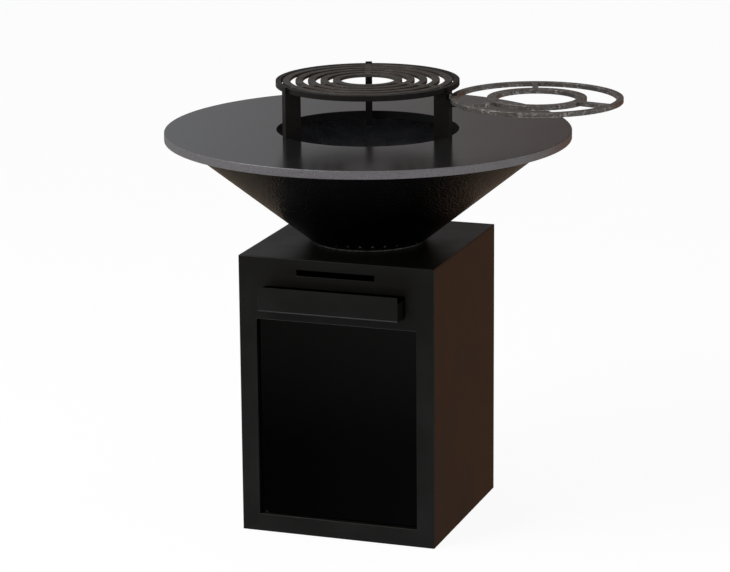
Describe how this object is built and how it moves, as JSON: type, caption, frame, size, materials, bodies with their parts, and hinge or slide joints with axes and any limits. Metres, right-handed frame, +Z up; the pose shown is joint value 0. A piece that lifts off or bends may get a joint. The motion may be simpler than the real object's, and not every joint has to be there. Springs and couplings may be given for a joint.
{
  "type": "fire bowl plate grill",
  "caption": "Free-standing black steel fire bowl grill: cabinet with ash drawer and door, cone bowl, round griddle plate with fire hole, grate stand and swing-out pan ring.",
  "frame": {"origin": "middle of the cabinet's base, on the floor, under the fire bowl's axis", "axes": "+Z up, -Y towards the front with the drawer and door, +X to the right seen from the front"},
  "size_m": [1.029, 0.902, 0.9975],
  "materials": {
    "cabinet_paint": "satin black powder coat",
    "drawer_paint": "satin black powder coat",
    "door_gloss": "gloss black enamel",
    "bowl_paint": "hammered black heat paint",
    "foot_steel": "bare burnished steel",
    "griddle_steel": "oiled and burnished steel",
    "stand_steel": "heat blackened steel",
    "grate_steel": "heat darkened steel",
    "ring_steel": "mill scale with rubbed highlights",
    "inner_steel": "plain steel",
    "fire_iron": "sooted iron",
    "hardware": "zinc plated steel",
    "latch_plastic": "moulded black"
  },
  "bodies": {
    "cabinet": {"side_left": "cabinet_paint", "side_right": "cabinet_paint", "back_panel": "cabinet_paint", "top_panel": "cabinet_paint", "bottom_panel": "cabinet_paint", "front_panel": "cabinet_paint", "divider_shelf": "cabinet_paint", "runner_left": "inner_steel", "runner_right": "inner_steel", "back_screws": "hardware", "hinge_pins": "hardware", "latch_bracket": "inner_steel", "latch_body": "latch_plastic", "fire_bowl": "bowl_paint", "bowl_foot_ring": "foot_steel", "bowl_rim_ring": "bowl_paint", "fire_grate": "fire_iron", "bowl_bolts": "hardware", "bowl_washers": "hardware", "bowl_nuts": "hardware"},
    "latch": {"latch_plunger": "hardware"},
    "door": {"door_panel": "door_gloss", "door_bushes": "inner_steel", "strike_plate": "inner_steel"},
    "drawer": {"drawer_pan": "drawer_paint", "drawer_side_left": "drawer_paint", "drawer_side_right": "drawer_paint", "drawer_stops": "inner_steel"},
    "plate": {"griddle_plate": "griddle_steel", "plate_locators": "inner_steel"},
    "stand": {"stand_hoop": "stand_steel", "stand_leg_left": "stand_steel", "stand_leg_right": "stand_steel", "stand_leg_rear": "stand_steel", "ring_lug": "stand_steel", "ring_pin": "stand_steel", "ring_washer": "stand_steel"},
    "grate": {"cooking_grate": "grate_steel"},
    "side_ring": {"pan_ring": "ring_steel"}
  },
  "joints": [
    {"name": "plate_lift", "type": "slide", "parent": "cabinet", "child": "plate", "axis": [0, 0, 1], "range_m": [0, 0.15]},
    {"name": "stand_turn", "type": "hinge", "parent": "plate", "child": "stand", "pos_m": [0, 0, 0.885], "axis": [0, 0, 1], "continuous": true},
    {"name": "grate_lift", "type": "slide", "parent": "stand", "child": "grate", "axis": [0, 0, 1], "range_m": [0, 0.12]},
    {"name": "ring_swing", "type": "hinge", "parent": "stand", "child": "side_ring", "pos_m": [0.21404, -0.04394, 0.974], "axis": [0, 0, 1], "range_deg": [-57, 16]},
    {"name": "drawer_slide", "type": "slide", "parent": "cabinet", "child": "drawer", "axis": [0, -1, 0], "range_m": [0, 0.297]},
    {"name": "door_swing", "type": "hinge", "parent": "cabinet", "child": "door", "pos_m": [-0.175, -0.2065, 0.265], "axis": [0, 0, -1], "range_deg": [0, 95]},
    {"name": "latch_push", "type": "slide", "parent": "cabinet", "child": "latch", "axis": [0, 1, 0], "range_m": [0, 0.005], "stiffness_N_per_m": 400, "springref_m": -0.002}
  ]
}
